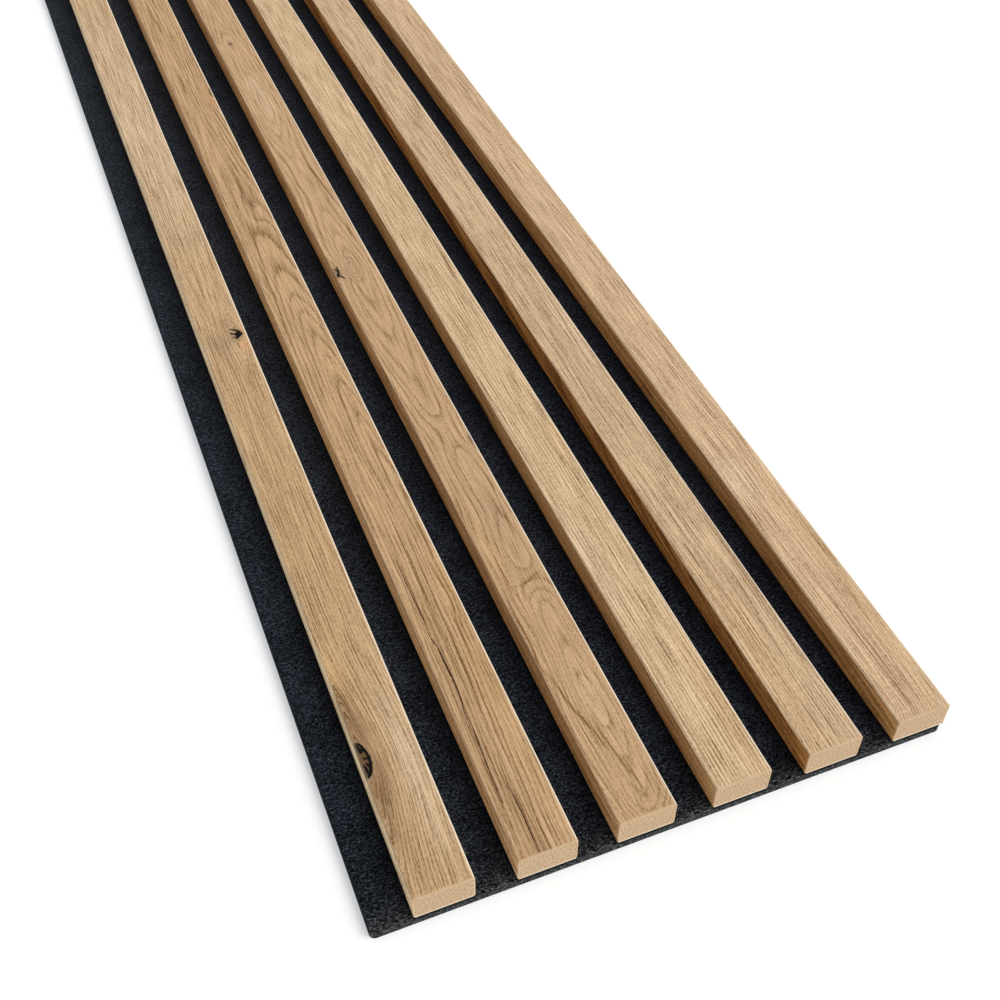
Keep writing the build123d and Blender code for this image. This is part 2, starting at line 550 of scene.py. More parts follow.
def distance_to_crack(across, along, crack):
    """How far inside a crack a point lies, as a share of the crack's half width there: 1 on its line."""
    best = 0.0
    for (u0, v0, w0), (u1, v1, w1) in zip(crack, crack[1:]):
        run = (u1 - u0) ** 2 + (v1 - v0) ** 2
        share = ((across - u0) * (u1 - u0) + (along - v0) * (v1 - v0)) / run
        share = min(max(share, 0.0), 1.0)
        gap = math.hypot(across - u0 - share * (u1 - u0), along - v0 - share * (v1 - v0))
        half_width = (w0 + share * (w1 - w0)) / 2
        inside = 1 - gap / (half_width + SPLIT_BLUR)
        best = max(best, inside * min(1.0, 0.2 + 1.6 * half_width))
    return best


def openness(across, along, cracks):
    """0 on sound wood, 1 at the bottom of a crack."""
    deepest = max(distance_to_crack(across, along, crack) for crack in cracks)
    return min(max(1.8 * deepest, 0.0), 1.0)


def open_splits(piece, cracks):
    """Cut a fine grid round a group of cracks in the front face, and sink the cracks into it."""
    rows = [point[1] for crack in cracks for point in crack]
    columns = [point[0] for crack in cracks for point in crack]
    cell_along = LONG_SPLIT_CELL if max(rows) - min(rows) > LONG_SPLIT else SPLIT_CELL_ALONG
    left = (max(min(columns) - SPLIT_MARGIN, SPLIT_FROM_EDGE) - HALF_WIDTH_MM) * MM
    right = (min(max(columns) + SPLIT_MARGIN, 2 * HALF_WIDTH_MM - SPLIT_FROM_EDGE) - HALF_WIDTH_MM) * MM
    bottom = NEAR_END + max(min(rows) - SPLIT_MARGIN, SPLIT_FROM_END) * MM
    top = NEAR_END + (max(rows) + SPLIT_MARGIN) * MM

    def on_front(face):
        return face.normal.z > 0.99 and face.calc_center_median().z > SLAT_TOP - 0.3 * MM

    def in_patch(point):
        return left - TOUCH < point.x < right + TOUCH and bottom - TOUCH < point.y < top + TOUCH

    def in_band(face):
        return on_front(face) and bottom < face.calc_center_median().y < top

    with editing(piece):
        cut(piece, on_front, 1, (bottom, top))
        cut(piece, in_band, 0, (left, right))
        cuts_along = max(1, round((top - bottom) / MM / cell_along) - 1)
        cuts_across = max(1, round((right - left) / MM / SPLIT_CELL_ACROSS) - 1)
        refine(piece, in_patch, SLAT_TOP, cuts_along, cuts_across)

    sunk = {}
    for vert in piece.data.vertices:
        if near(vert.co.z, SLAT_TOP) and in_patch(vert.co):
            value = openness(vert.co.x / MM + HALF_WIDTH_MM, (vert.co.y - NEAR_END) / MM, cracks)
            if value > 0:
                sunk[vert.index] = value
    weigh(piece, "split_depth", sunk)
    shade = piece.data.attributes["open_grain"]
    for index, value in sunk.items():
        shade.data[index].value = value


def make_skin(pattern, number, look):
    """One slat's veneer, with its own cracks and open knots sunk into the front face."""
    piece = copy_at(pattern, "slat_" + str(number) + "_oak_skin", 0)
    piece.data.attributes.new("open_grain", "FLOAT", "POINT")
    for cracks in look["splits"]:
        open_splits(piece, cracks)
    if look["splits"]:
        apply_modifier(
            piece, "DISPLACE", direction="NORMAL", strength=-SPLIT_DEPTH, mid_level=0,
            vertex_group="split_depth"
        )
    smooth(piece, 32)
    move_to(piece, slat_middle(number))
    return piece


def make_core_pattern():
    """Fibreboard bar for one slat at X 0, with a slit for each staple leg in its foot."""
    half = CORE_WIDTH / 2
    low = Vector((-half, NEAR_END, SLAT_FOOT))
    high = Vector((half, NEAR_END + PANEL_LENGTH, CORE_TOP))
    piece = add_box("core_pattern", low, high)
    columns = (-CROWN_OUTER, -CROWN_INNER, CROWN_INNER, CROWN_OUTER)
    rows = [y + side for y in staple_stations() for side in (-WIRE_WIDTH / 2, WIRE_WIDTH / 2)]

    def on_foot(face):
        return face.normal.z < -0.9

    def on_leg(face):
        centre = face.calc_center_median()
        return on_foot(face) and CROWN_INNER < abs(centre.x) < CROWN_OUTER and in_staple_row(centre)

    with editing(piece):
        pick(piece, "edges", lambda edge: runs_along(edge, 1) and middle_of(edge).z > CORE_TOP - MM)
        bevel(CORE_EDGE_RADIUS, 3)
        cut(piece, on_foot, 0, columns)
        cut(piece, on_foot, 1, rows)
        pick(piece, "faces", on_leg)
        push_up(STAPLE_TIP - SLAT_FOOT)
    smooth(piece, 30)
    return piece


# Felt board

def make_felt():
    """The backing board: soft rims, an uneven front, and a dimple and two leg slots for each staple."""
    piece = add_box("felt_board", felt_low, felt_high)
    middles = [slat_middle(number) for number in range(1, len(SLAT_LOOKS) + 1)]
    dimple_outer = CROWN_OUTER + DIMPLE_MARGIN
    offsets = (-dimple_outer, -CROWN_OUTER, -CROWN_INNER, CROWN_INNER, CROWN_OUTER, dimple_outer)
    half_wire = WIRE_WIDTH / 2
    reaches = (-half_wire - DIMPLE_MARGIN, -half_wire, half_wire, half_wire + DIMPLE_MARGIN)

    def on_back(face):
        return face.normal.z < -0.99

    def on_front(face):
        return face.normal.z > 0.99

    def at_staple(face, inner):
        centre = face.calc_center_median()
        return in_staple_row(centre) and any(inner <= abs(centre.x - x) < CROWN_OUTER for x in middles)

    with editing(piece):
        pick(piece, "edges", lambda edge: runs_along(edge, 2))
        bevel(FELT_CORNER_RADIUS, 6)
        pick(piece, "edges", lambda edge: at_height(edge, felt_high.z))
        bevel(FELT_FRONT_RIM, 4)
        pick(piece, "edges", lambda edge: at_height(edge, felt_low.z))
        bevel(FELT_BACK_RIM, 3)
        cut(piece, on_back, 0, [x + offset for x in middles for offset in offsets])
        cut(piece, on_back, 1, [y + reach for y in staple_stations() for reach in reaches])
        pick(piece, "faces", lambda face: on_back(face) and at_staple(face, 0))
        bpy.ops.transform.translate(value=(0, 0, DIMPLE_DEPTH))
        crown_top = staples_low.z + WIRE_THICKNESS
        push_up(crown_top - felt_low.z - DIMPLE_DEPTH)
        pick(piece, "faces", lambda face: on_back(face) and at_staple(face, CROWN_INNER) and near(
            face.calc_center_median().z, crown_top))
        push_up(felt_high.z - LEG_SLOT_ROOF - crown_top)
    roughen_grooves(piece, middles, on_front)
    smooth(piece, 40)
    return piece


def roughen_grooves(piece, middles, on_front):
    """Subdivide the felt that shows between the slats, and press it into a slightly uneven surface."""
    half = SLAT_WIDTH / 2
    edges_x = sorted([x - half for x in middles] + [x + half for x in middles[:-1]])
    left = felt_low.x + FELT_CORNER_RADIUS
    strips = []
    for x in middles:
        right = x - half
        strips.append((left, right))
        left = x + half
    bottom = NEAR_END + FELT_CORNER_RADIUS
    top = NEAR_END + PANEL_LENGTH - FELT_CORNER_RADIUS

    def in_a_strip(point):
        inside = any(a - TOUCH < point.x < b + TOUCH for a, b in strips)
        return inside and bottom - TOUCH < point.y < top + TOUCH

    with editing(piece):
        cut(piece, on_front, 0, [felt_low.x + FELT_CORNER_RADIUS] + edges_x)
        cut(piece, on_front, 1, (bottom, top))
        refine(piece, in_a_strip, felt_high.z, round((top - bottom) / FELT_CELL) - 1, 3)
    pressed = {}
    for vert in piece.data.vertices:
        inside = any(a + 0.5 * MM < vert.co.x < b - 0.5 * MM for a, b in strips)
        if inside and near(vert.co.z, felt_high.z) and bottom < vert.co.y < top:
            pressed[vert.index] = 1.0
    weigh(piece, "press", pressed)
    lumps = bpy.data.textures.new("felt_lumps", "CLOUDS")
    lumps.noise_scale = FELT_LUMP
    lumps.noise_depth = 2
    apply_modifier(
        piece, "DISPLACE", direction="Z", strength=FELT_UNEVENNESS, mid_level=0.95, vertex_group="press",
        texture=lumps, texture_coords="LOCAL"
    )


# Shader nodes

def by_math(operation):
    """A method that adds one Math node."""
    def method(signal, *others):
        return signal.math(operation, *others)
    return method


class Signal:
    """A value that changes over a surface. Arithmetic on it adds Math nodes."""

    def __init__(self, wiring, socket):
        self.wiring = wiring
        self.socket = socket

    def math(self, operation, *others, clamp=False):
        return self.wiring.math(operation, self, *others, clamp=clamp)

    __add__ = by_math("ADD")
    __radd__ = by_math("ADD")
    __sub__ = by_math("SUBTRACT")
    __mul__ = by_math("MULTIPLY")
    __rmul__ = by_math("MULTIPLY")
    __truediv__ = by_math("DIVIDE")
    __pow__ = by_math("POWER")
    __abs__ = by_math("ABSOLUTE")

    def __rsub__(self, other):
        return self.wiring.math("SUBTRACT", other, self)

    def clamped(self):
        return self.math("ADD", 0.0, clamp=True)

    def fall(self):
        """exp of minus the square."""
        return (-1.0 * (self * self)).math("EXPONENT")

    def fade(self, reach):
        """exp of minus the value over a reach."""
        return (-1.0 * self / reach).math("EXPONENT")

    def ramp(self, start, end):
        """0 up to start, 1 from end, and smooth between them. start may be the larger."""
        node = self.wiring.node("ShaderNodeMapRange", interpolation_type="SMOOTHSTEP")
        self.wiring.fill(
            node, Value=self, From_Min=min(start, end), From_Max=max(start, end),
            To_Min=float(start > end), To_Max=float(start < end),
        )
        return Signal(self.wiring, node.outputs["Result"])


class Wiring:
    """Adds nodes to one shader tree and joins them."""

    def __init__(self, tree):
        self.tree = tree

    def node(self, kind, **settings):
        made = self.tree.nodes.new(kind)
        for setting, value in settings.items():
            setattr(made, setting, value)
        return made

    def join(self, giver, socket):
        """Join a node's first output to a socket."""
        self.tree.links.new(giver.outputs[0], socket)

    def feed(self, socket, value):
        """Join a socket to a signal, or set it to a plain value."""
        if isinstance(value, Signal):
            self.tree.links.new(value.socket, socket)
        elif isinstance(value, tuple) and len(value) == 3 and socket.type == "RGBA":
            socket.default_value = (*value, 1.0)
        else:
            socket.default_value = value

    def fill(self, node, **inputs):
        """Feed a node's inputs by their names, with underscores for spaces."""
        for label, value in inputs.items():
            self.feed(node.inputs[label.replace("_", " ")], value)
        return node

    def filled(self, kind, **inputs):
        """A new node with its inputs fed."""
        return self.fill(self.node(kind), **inputs)

    def math(self, operation, *values, clamp=False):
        made = self.node("ShaderNodeMath", operation=operation, use_clamp=clamp)
        for socket, value in zip(made.inputs, values):
            self.feed(socket, value)
        return Signal(self, made.outputs["Value"])

    def point(self, x, y, z):
        return Signal(self, self.filled("ShaderNodeCombineXYZ", X=x, Y=y, Z=z).outputs["Vector"])

    def object_place(self):
        return Signal(self, self.node("ShaderNodeTexCoord").outputs["Object"])

    def parts(self, place):
        """X, Y and Z of a place."""
        return [Signal(self, socket) for socket in self.filled("ShaderNodeSeparateXYZ", Vector=place).outputs]

    def noise(self, place, detail=2.0, roughness=0.5, scale=1.0):
        """Soft noise about zero, mostly between -1 and 1."""
        made = self.filled("ShaderNodeTexNoise", Vector=place, Scale=scale, Detail=detail)
        self.fill(made, Roughness=roughness)
        return (Signal(self, made.outputs["Fac"]) - 0.5) * NOISE_GAIN

    def streaks(self, across, along, width, length, seed, detail=1.0):
        """Noise about zero in patches of width by length millimetres."""
        return self.noise(self.point(across / width, along / length, seed), detail)

    def mix(self, share, first, second, blend="MIX"):
        made = self.node("ShaderNodeMix", data_type="RGBA", blend_type=blend, clamp_factor=True)
        self.feed(made.inputs["Factor"], share)
        self.feed(made.inputs[MIX_FIRST], first)
        self.feed(made.inputs[MIX_SECOND], second)
        return Signal(self, made.outputs[MIX_RESULT])

    def curve(self, along, points):
        """A smooth curve through given (along, value) points, in millimetres."""
        length = PANEL_LENGTH / MM
        low = min(value for place, value in points)
        span = max(max(value for place, value in points) - low, 0.001)
        made = self.node("ShaderNodeFloatCurve")
        line = made.mapping.curves[0]
        while len(line.points) < len(points):
            line.points.new(0.5, 0.5)
        for knob, (place, value) in zip(line.points, points):
            knob.location = (place / length, (value - low) / span)
        made.mapping.update()
        self.feed(made.inputs["Value"], along / length)
        return Signal(self, made.outputs["Value"]) * span + low

    def group(self, name, *values):
        """Place a node group, and feed its inputs in their order."""
        made = self.node("ShaderNodeGroup", node_tree=bpy.data.node_groups[name])
        for socket, value in zip(made.inputs, values):
            self.feed(socket, value)
        outputs = [Signal(self, socket) for socket in made.outputs]
        return outputs[0] if len(outputs) == 1 else outputs


def new_group(name, inputs, outputs):
    """A shader node group. Returns its wiring, its inputs as signals, and what feeds its outputs."""
    tree = bpy.data.node_groups.new(name, "ShaderNodeTree")
    labels = inputs.split(", ") if inputs else []
    for way, names in (("INPUT", labels), ("OUTPUT", outputs.split(", "))):
        for label in names:
            kind = "NodeSocketColor" if label in COLOUR_SOCKETS else "NodeSocketFloat"
            tree.interface.new_socket(label, in_out=way, socket_type=kind)
    wiring = Wiring(tree)
    entry = wiring.node("NodeGroupInput")
    leave = wiring.node("NodeGroupOutput")

    def give(*values):
        for socket, value in zip(leave.inputs, values):
            wiring.feed(socket, value)

    return wiring, [Signal(wiring, socket) for socket in entry.outputs[:len(labels)]], give


# Groups for the oak. Their lengths are in millimetres, measured as in SLAT_LOOKS.

def build_slat_map():
    """Across and along the veneer as it lay flat, whether on a side, on a folded edge, and how high up."""
    wiring, (middle,), give = new_group(
        "Slat Map", "Middle", "Across, Along, Side, Left Edge, Right Edge, From End, Height"
    )
    x, y, z = wiring.parts(wiring.object_place())
    from_middle = x - middle
    drop = (SLAT_TOP - z).math("MAXIMUM", 0.0)
    across = (from_middle + from_middle.math("SIGN") * drop) / MM + HALF_WIDTH_MM
    along = (y - NEAR_END) / MM
    side = (drop / MM).ramp(0.35, 1.2)
    # Thin lines along the top's left and right edges, where the oak paints its highlight
    left_edge = ((across + 0.1) / EDGE_LINE_WIDTH).fall()
    right_edge = ((across - 2 * HALF_WIDTH_MM + 0.20) / EDGE_LINE_WIDTH).fall()
    from_end = along.math("MINIMUM", PANEL_LENGTH / MM - along)
    give(across, along, side, left_edge, right_edge, from_end, (z - SLAT_FOOT) / MM)


def build_knot_flow():
    """Grain pushed aside by a knot, and the distance from the knot, which is 1 on its rim."""
    wiring, inputs, give = new_group(
        "Knot Flow", "Across, Along, Knot Across, Knot Along, Push, Reach, Spread, Half Width, Half Length",
        "Across, Distance",
    )
    across, along, knot_across, knot_along, push, reach, spread, half_width, half_length = inputs
    aside = across - knot_across
    ahead = along - knot_along
    side = aside / (abs(aside) + 0.8)
    near_row = (ahead / spread).fall()
    distance = ((aside / half_width) ** 2.0 + (ahead / half_length) ** 2.0).math("SQRT")
    give(across - push * side * near_row * abs(aside).fade(reach), distance)


def build_grain_eye():
    """A swirl that lifts the growth rings over an oval place."""
    wiring, inputs, give = new_group(
        "Grain Eye", "Across, Along, Place Across, Place Along, Half Width, Half Length, Lift", "Lift"
    )
    across, along, place_across, place_along, half_width, half_length, lift = inputs
    wide = ((across - place_across) / half_width).fall()
    high = ((along - place_along) / half_length).fall()
    give(lift * wide * high)


def build_grain_stroke():
    """One dark grain line, leaning a little and fading at both ends."""
    wiring, inputs, give = new_group(
        "Grain Stroke", "Across, Along, Place Across, Place Along, Lean, Half Width, Half Length", "Stroke"
    )
    across, along, place_across, place_along, lean, half_width, half_length = inputs
    ahead = along - place_along
    aside = across - place_across - lean * ahead
    share = abs(ahead / half_length)
    give((aside / half_width).fall() * share.ramp(1.3, 0.4))


def build_growth_rings():
    """Dark early-wood lines, sharp on one side and fading on the other, from how deep the rings are cut."""
    wiring, (depth, along, spacing, uneven, seed), give = new_group(
        "Growth Rings", "Depth, Along, Spacing, Uneven, Seed", "Line, Band"
    )
    rough = depth / spacing
    ring = rough + wiring.noise(wiring.point(rough * 0.45, along / 400.0, seed), 1.0) * 0.75 * uneven
    share = ring.math("FRACT")
    count = ring.math("FLOOR")
    white = wiring.node("ShaderNodeTexWhiteNoise", noise_dimensions="1D")
    wiring.fill(white, W=count + seed * 7.3)
    chance = Signal(wiring, white.outputs["Value"])
    fading = (1.0 - share / 0.60).clamped() ** 1.8
    start = share.ramp(0.84, 1.0)
    broken = wiring.noise(wiring.point(count * 1.7, along / 45.0, seed + 2.0), 2.0).ramp(-0.8, 0.2)
    line = fading.math("MAXIMUM", start) * (1.0 - uneven * (1.0 - chance)) * (0.58 + 0.42 * broken)
    give(line, chance * 2.0 - 1.0)


def build_oak_pores():
    """Short dark pores, most of them along the ring lines, and the fine brushed fibres between them."""
    wiring, (across, along, line, seed), give = new_group(
        "Oak Pores", "Across, Along, Line, Seed", "Pores, Fibres"
    )

    def layer(width, length, step, detail=1.0):
        return wiring.streaks(across, along, width, length, seed + step, detail)

    dashes = (layer(0.34, 6.0, 11.0) + line * 0.6).ramp(0.40, 1.05)
    short = (layer(0.48, 2.6, 23.0, 0.0) + line * 0.5).ramp(0.55, 1.1)
    fine = layer(0.30, 32.0, 31.0, 1.5)
    medium = layer(0.70, 90.0, 41.0, 0.0)
    speckle = layer(0.42, 1.9, 61.0)
    ripple = layer(6.0, 2.6, 67.0)
    give(dashes * 0.75 + short * 0.45, fine * 1.20 + medium * 0.12 + speckle * 0.52 + ripple * 0.05)


def build_oak_tone():
    """Oak's colour from a tone: 0 is dark early wood, 0.5 the board's own colour, 1 the palest fibres."""
    wiring, (tone, board), give = new_group("Oak Tone", "Tone, Board", "Colour")
    dark = wiring.mix(1.0, board, OAK_DARKEST, "MULTIPLY")
    pale = wiring.mix(1.0, board, OAK_PALEST, "MULTIPLY")
    lower = wiring.mix((tone * 2.0).clamped(), dark, board)
    give(wiring.mix((tone * 2.0 - 1.0).clamped(), lower, pale))


def build_stain():
    """An oval stain with a ragged edge."""
    wiring, inputs, give = new_group(
        "Wood Stain",
        "Colour, Across, Along, Place Across, Place Along, Half Width, Half Length, Stain, Strength",
        "Colour",
    )
    colour, across, along, place_across, place_along, half_width, half_length, stain, strength = inputs
    wide = (across - place_across) / half_width
    high = (along - place_along) / half_length
    ragged = wiring.streaks(across, along, 1.3, 9.0, 3.0, 2.0) * 0.28
    mask = ((wide * wide + high * high).math("SQRT") + ragged).math("MAXIMUM", 0.0).fall()
    give(wiring.mix((mask * strength).clamped(), colour, stain))


# Groups for the felt and the fibreboard

def build_felt_fibres():
    """Pressed fibres lying every way: fine fleck, clumps, cloudy patches, and painted shade beside the slats'
    feet and under the slats at the felt's ends.
    """
    wiring, (first_foot, pitch), give = new_group(
        "Felt Fibres", "First Foot, Pitch", "Fleck, Clumps, Patches, Crease, Cut Edge"
    )
    place = wiring.object_place()
    layers = []
    for turn, shift in FIBRE_LAYERS:
        mapping = wiring.filled(
            "ShaderNodeMapping", Vector=place, Rotation=(0, 0, math.radians(turn)),
            Location=(shift, shift, shift), Scale=[1 / size for size in FIBRE_SIZE],
        )
        layers.append(wiring.noise(Signal(wiring, mapping.outputs["Vector"]), 2.0, 0.6))
    fleck = layers[0].math("MAXIMUM", layers[1]).math("MAXIMUM", layers[2]) - 0.3
    clumps = wiring.noise(place, 3.0, 0.75, scale=1 / (1.2 * MM))
    patches = wiring.noise(place, 2.0, 0.5, scale=1 / (24 * MM))
    x, y, z = wiring.parts(place)
    height = z / MM
    # Along a groove, past is the distance from the slat on the left, and ahead the distance to the next one.
    past = ((x - first_foot) / pitch).math("FRACT") * pitch / MM - SLAT_WIDTH / MM
    ahead = (pitch - SLAT_WIDTH) / MM - past
    # Painted shade: near-black felt beside each slat's foot, a broad painted shadow across each groove from
    # the slat to its right, and painted shade under the slats on the felt's rim at its ends
    left_painted_shade = past.math("MAXIMUM", 0.0).fade(0.8) * 0.70
    right_painted_shade = ahead.fade(0.9) * 0.50 + ahead.fade(9.0) * 0.48
    under = (past * -1.0).ramp(-0.2, 0.3) * height.ramp(3.4, 4.8) * 0.92
    from_end = (y - NEAR_END).math("MINIMUM", NEAR_END + PANEL_LENGTH - y) / MM
    cut_edge = from_end.math("MAXIMUM", 0.0).fade(7.0)
    on_top = past.ramp(-0.3, 0.0) * height.ramp(4.6, 5.4)
    felt_painted_shade = left_painted_shade.math("MAXIMUM", right_painted_shade) * on_top * (1.0 - 0.6 * cut_edge)
    give(fleck, clumps, patches, felt_painted_shade.math("MAXIMUM", under), cut_edge)


def build_board_speckle():
    """Pressed wood fibre: a fine speckle with paler and darker bits, and faint cloudy tints."""
    wiring, inputs, give = new_group("Board Speckle", "", "Speckle, Bits, Cloud")
    place = wiring.object_place()
    speckle = wiring.noise(place, 3.0, 0.7, scale=1 / (0.75 * MM))
    bits = wiring.noise(place, 1.0, 0.5, scale=1 / (1.1 * MM))
    cloud = wiring.noise(place, 1.0, 0.5, scale=1 / (6.0 * MM))
    give(speckle, bits, cloud)


# Materials

def new_material(name):
    """A material with a Principled shader. Returns it, its wiring and the shader."""
    material = bpy.data.materials.new(name)
    material.use_nodes = True
    wiring = Wiring(material.node_tree)
    return material, wiring, material.node_tree.nodes["Principled BSDF"]


def set_bump(wiring, shader, height, distance, strength):
    bump = wiring.filled("ShaderNodeBump", Height=height, Distance=distance, Strength=strength)
    wiring.join(bump, shader.inputs["Normal"])


def add_side_arches(wiring, flow, along, side, line, look, seed):
    """Ring lines with a folded side's own: it is cut through arches, which close against its upper edge."""
    rise = wiring.curve(along, look["side_rise"]).math("MAXIMUM", 0.0)
    arches = (abs(flow) ** 3.0 + rise ** 3.0) ** (1 / 3)
    rings = wiring.group("Growth Rings", arches, along, SIDE_RING_SPACING, SIDE_RING_UNEVEN, seed + 50.0)
    return line + side * ((rings[0] * 2.2).clamped() * look["side_lines"] - line)


def oak_material(number, look):
    """Rustic oak veneer with this slat's own rings, knots and stains."""
    material, wiring, shader = new_material("rustic_oak_slat_" + str(number))
    seed = number * SEED_STEP
    slat_map = wiring.group("Slat Map", slat_middle(number))
    across, along, side, left_edge, right_edge, from_end, height = slat_map

    def layer(width, length, step, detail=1.0):
        return wiring.streaks(across, along, width, length, seed + step, detail)

    # Where the growth rings run
    flow = across
    knots = []
    for *knot, darkness in look["knots"]:
        flow, distance = wiring.group("Knot Flow", flow, along, *knot)
        knots.append((distance, darkness))
    sway = wiring.streaks(flow, along, 26.0, 170.0, seed, 1.0) * 1.5
    waver = wiring.streaks(flow, along, 7.0, 46.0, seed + 5.0, 1.0) * 0.55
    flow = flow + (sway + waver) * look["waver"]
    aside = flow - wiring.curve(along, look["heart"])
    flat = wiring.curve(along, look["flat"])
    depth = (aside * aside + flat * flat).math("SQRT") - flat + wiring.curve(along, look["rise"])
    for eye in look["eyes"]:
        depth = depth + wiring.group("Grain Eye", flow, along, *eye)
    calm = 1.0
    for distance, darkness in knots:
        depth = depth + 6.0 * (distance * 0.8).fall()
        calm = calm - 0.75 * (distance * 0.5).fall()
    torn = layer(0.8, 22.0, 15.0) * 0.10
    depth = depth + torn * look["spacing"]
    line, band = wiring.group("Growth Rings", depth, along, look["spacing"], look["uneven"], seed)
    line = line * calm
    if "side_rise" in look:
        line = add_side_arches(wiring, flow, along, side, line, look, seed)

    # How dark or pale the wood is
    pores, fibres = wiring.group("Oak Pores", flow, along, line, seed)
    cloud = layer(18.0, 130.0, 71.0, 2.0)
    fibres = fibres * look["fibre"] * (1.0 + side * 0.9)
    dark_lines = line * (0.42 + side * 0.42) * look["lines"]
    bands = band * (0.02 + side * 0.24) * look["lines"]
    tone = 0.65 - dark_lines + bands + fibres - pores * 0.26 * look["pores"] + cloud * 0.03
    for *stroke, strength in look["strokes"]:
        tone = tone - strength * wiring.group("Grain Stroke", flow + torn * 1.5, along, *stroke)
    # The folded sides take their own colour, which holds painted light and shade as well as their tone
    board = wiring.mix(side, look["tone"], look["side"])
    for stain in look["stains"]:
        board = wiring.group("Wood Stain", board, across, along, *stain)
    colour = wiring.group("Oak Tone", tone.clamped(), board)

    # Knots, open cracks, the painted highlight along the top edges, and chipped ends
    ragged = layer(1.1, 3.0, 83.0, 2.0) * 0.16
    for distance, darkness in knots:
        heart = (distance + ragged).ramp(1.02, 0.72) * (1.0 - side) * darkness
        rim = ((distance + ragged - 0.95) / 0.16).fall() * (1.0 - side) * darkness
        colour = wiring.mix(heart * 0.92, colour, KNOT_HEART)
        colour = wiring.mix(rim * 0.85, colour, BLACK_KNOT_AND_CRACK_SHADE)
    # Open cracks: their floors are painted near-black, a painted shade deeper than the shallow recess casts
    opened = Signal(wiring, wiring.node("ShaderNodeAttribute", attribute_name="open_grain").outputs["Fac"])
    broken = layer(0.7, 4.0, 89.0) * 0.35 * opened.ramp(0.0, 0.2)
    opened = (opened * 1.25 + broken).ramp(0.15, 0.85)
    colour = wiring.mix(opened, colour, BLACK_KNOT_AND_CRACK_SHADE)
    # Painted highlight along the top edges: faint on the left edge, bright on the right edge
    colour = wiring.mix(left_edge * 0.10 + right_edge * 0.92, colour, PAINTED_EDGE_HIGHLIGHT)
    notches = layer(0.6, 3.0, 97.0) * 0.45
    colour = wiring.mix((from_end + notches).ramp(1.1, 0.55) * 0.8, colour, SAWN_CHIP)

    # Painted shade on the folded sides: darker towards the felt and just under the front edge, with a faint
    # painted highlight a little above the felt
    under_edge = 1.0 - 0.20 * height.ramp(13.0, 14.4) + 0.10 * (height - 2.2).fall()
    shade = (1.0 - side) + side * (0.06 + 0.94 * height.ramp(0.0, 1.6)) * (1.03 + height * 0.006) * under_edge
    dimmed = wiring.mix(1.0, colour, wiring.point(shade, shade, shade), "MULTIPLY")
    roughness = (0.62 + pores * 0.15 + fibres * 0.05 + opened * 0.2).clamped()
    wiring.fill(shader, Base_Color=dimmed, Roughness=roughness, Specular_IOR_Level=0.12)
    set_bump(wiring, shader, fibres * 0.35 - pores * 0.7 - line * 0.25, 0.12 * MM, 0.6)
    return material


def fibreboard_material():
    """Sawn fibreboard: tan, finely speckled, with faint yellow and pink clouds."""
    material, wiring, shader = new_material("sawn_fibreboard")
    speckle, bits, cloud = wiring.group("Board Speckle")
    colour = wiring.mix((0.5 + speckle * 1.1).clamped(), (0.27, 0.165, 0.085), (0.86, 0.635, 0.40))
    colour = wiring.mix(bits.ramp(0.50, 0.95) * 0.7, colour, (0.90, 0.71, 0.49))
    colour = wiring.mix((0.0 - bits).ramp(0.60, 1.0) * 0.8, colour, (0.17, 0.10, 0.05))
    colour = wiring.mix(cloud.ramp(0.1, 1.0) * 0.35, colour, (0.70, 0.44, 0.18))
    colour = wiring.mix((0.0 - cloud).ramp(0.1, 1.0) * 0.35, colour, (0.70, 0.43, 0.34))
    # Painted highlight: a pale band along the board's foot, at the lower arris of its sawn ends
    height = (wiring.parts(wiring.object_place())[2] - SLAT_FOOT) / MM
    colour = wiring.mix((height / 0.9).fall() * 0.8, colour, (1.0, 0.84, 0.64))
    wiring.fill(shader, Base_Color=colour, Roughness=0.85, Specular_IOR_Level=0.25)
    set_bump(wiring, shader, speckle * 0.5 + bits * 0.3, 0.15 * MM, 0.5)
    return material


def felt_material():
    """Needled black felt: blue-black fibres with grey flecks, a little paler in cloudy patches."""
    material, wiring, shader = new_material("black_needled_felt")
    first_foot = slat_middle(1) - SLAT_WIDTH / 2
    pitch = slat_middle(2) - slat_middle(1)
    fleck, clumps, patches, felt_painted_shade, cut_edge = wiring.group("Felt Fibres", first_foot, pitch)
    tone = 0.33 + fleck * 0.92 + clumps * 0.60 + patches * 0.09
    # The felt's ends are paler: cut fibres and dust, partly painted light
    grey = wiring.mix(cut_edge, FIBRE_GREY, CUT_EDGE_DUST_AND_PAINTED_LIGHT)
    colour = wiring.mix(tone.clamped() ** 1.8, (0.0010, 0.0013, 0.0018), grey)
    # Painted shade beside the slats' feet and under their ends
    colour = wiring.mix(felt_painted_shade, colour, (0.0010, 0.0012, 0.0016))
    wiring.fill(
        shader, Base_Color=colour, Roughness=0.95, Specular_IOR_Level=0.02, Sheen_Weight=0.075,
        Sheen_Roughness=0.4, Sheen_Tint=(0.80, 0.90, 1.0),
    )
    set_bump(wiring, shader, fleck * 0.6 + clumps * 0.6, 0.35 * MM, 0.8)
    return material


